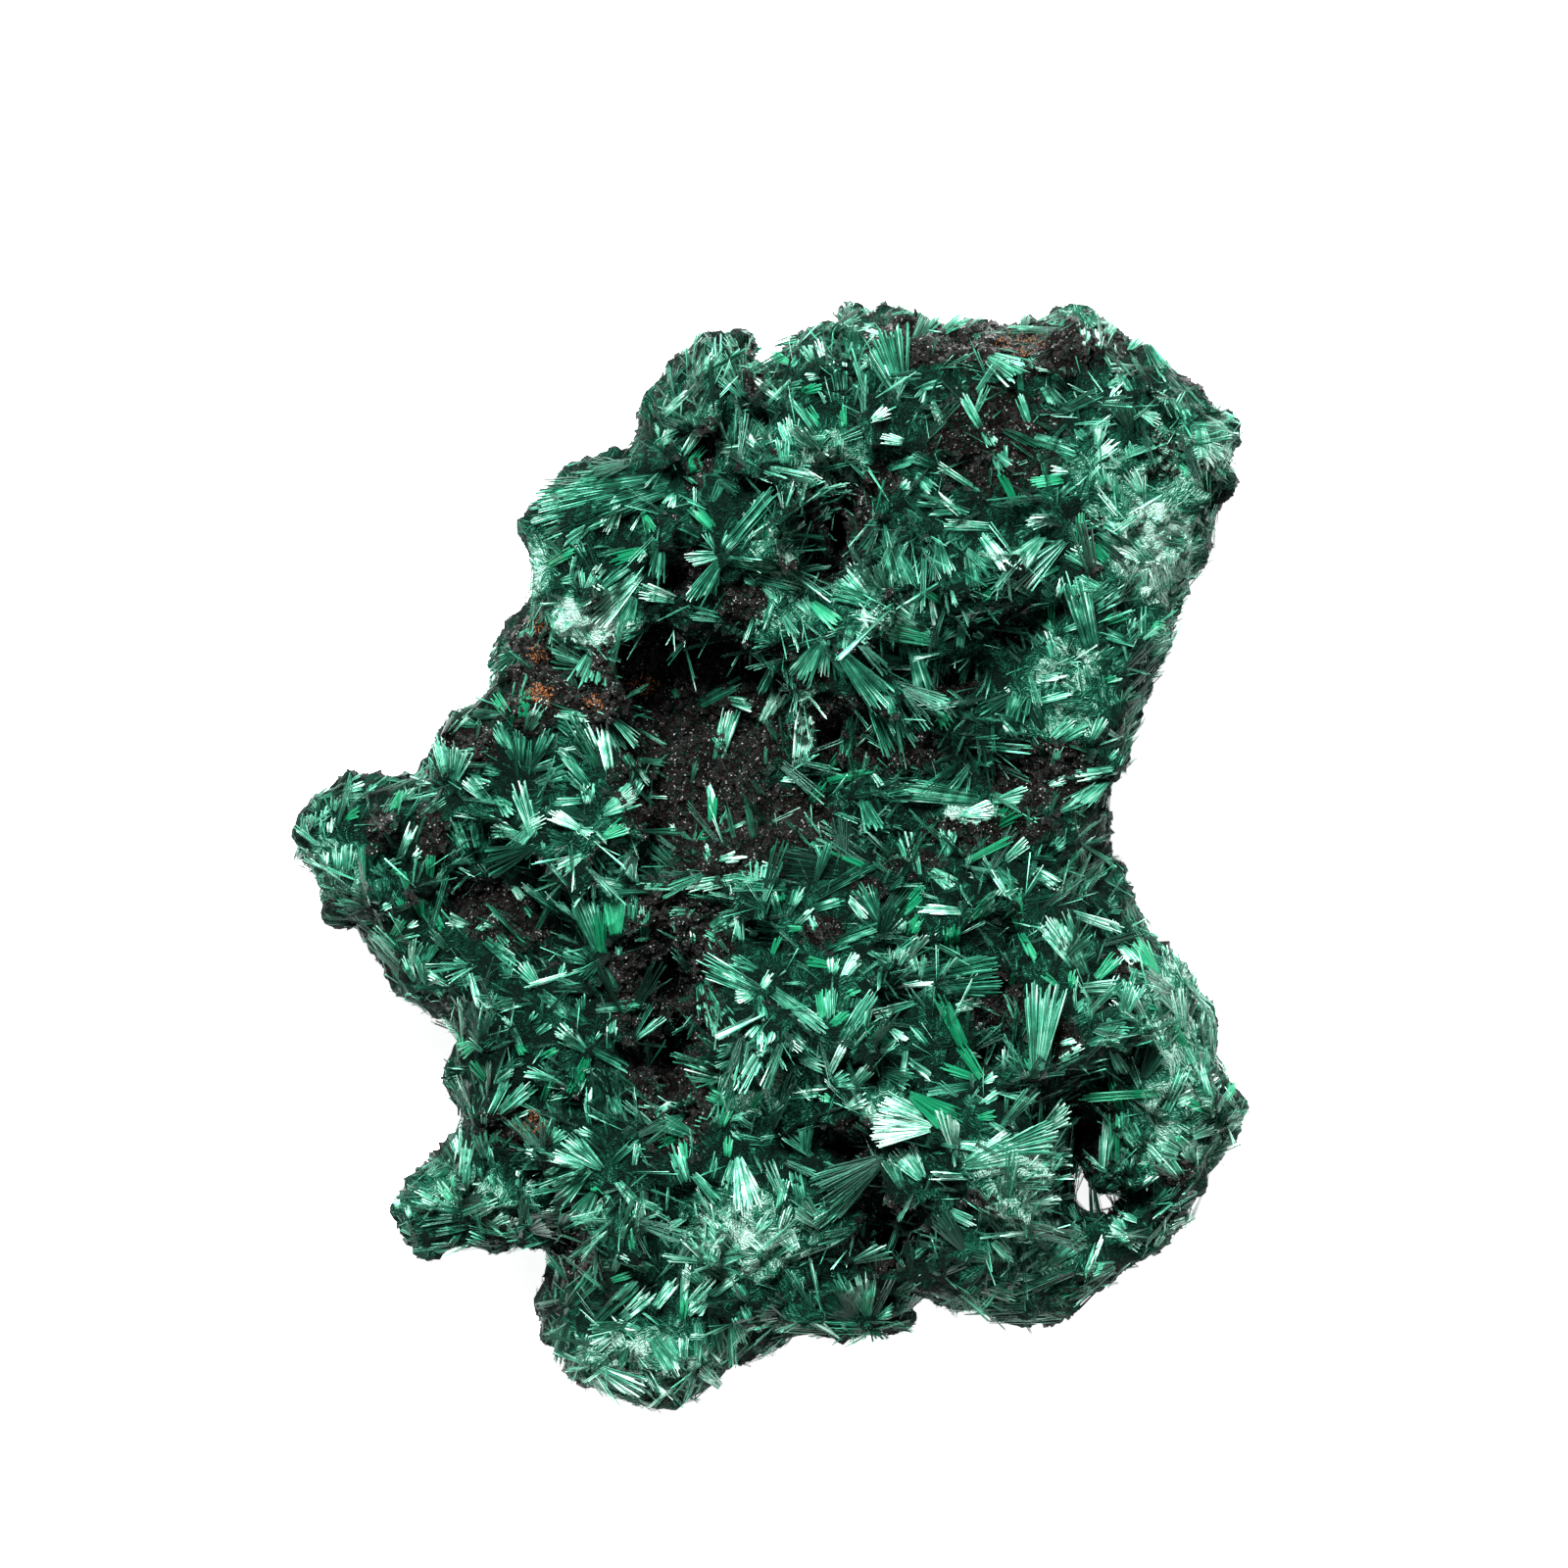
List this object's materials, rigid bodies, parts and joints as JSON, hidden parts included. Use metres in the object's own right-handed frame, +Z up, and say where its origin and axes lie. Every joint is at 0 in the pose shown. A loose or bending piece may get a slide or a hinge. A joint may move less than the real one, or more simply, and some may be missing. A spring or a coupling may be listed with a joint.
{
  "type": "malachite cluster",
  "caption": "Rough cluster of silky fibrous malachite sprays on dark matrix, grown together as one lobed slab that lies on its broken underside.",
  "frame": {"origin": "centre of the footprint's box, on the surface the specimen lies on", "axes": "+Z up from the broken underside to the sprays, +Y along the length from the rounded bottom lobes to the high upper block, +X across the width towards the holed rim"},
  "size_m": [0.0976, 0.1136, 0.039],
  "materials": {
    "malachite": "silky fibrous, vivid glassy green blades with pale felted ends",
    "matrix": "dull black gritty matrix with fine sparkle and rust-brown specks"
  },
  "bodies": {
    "root": {"malachite_cluster": "malachite"}
  },
  "joints": []
}
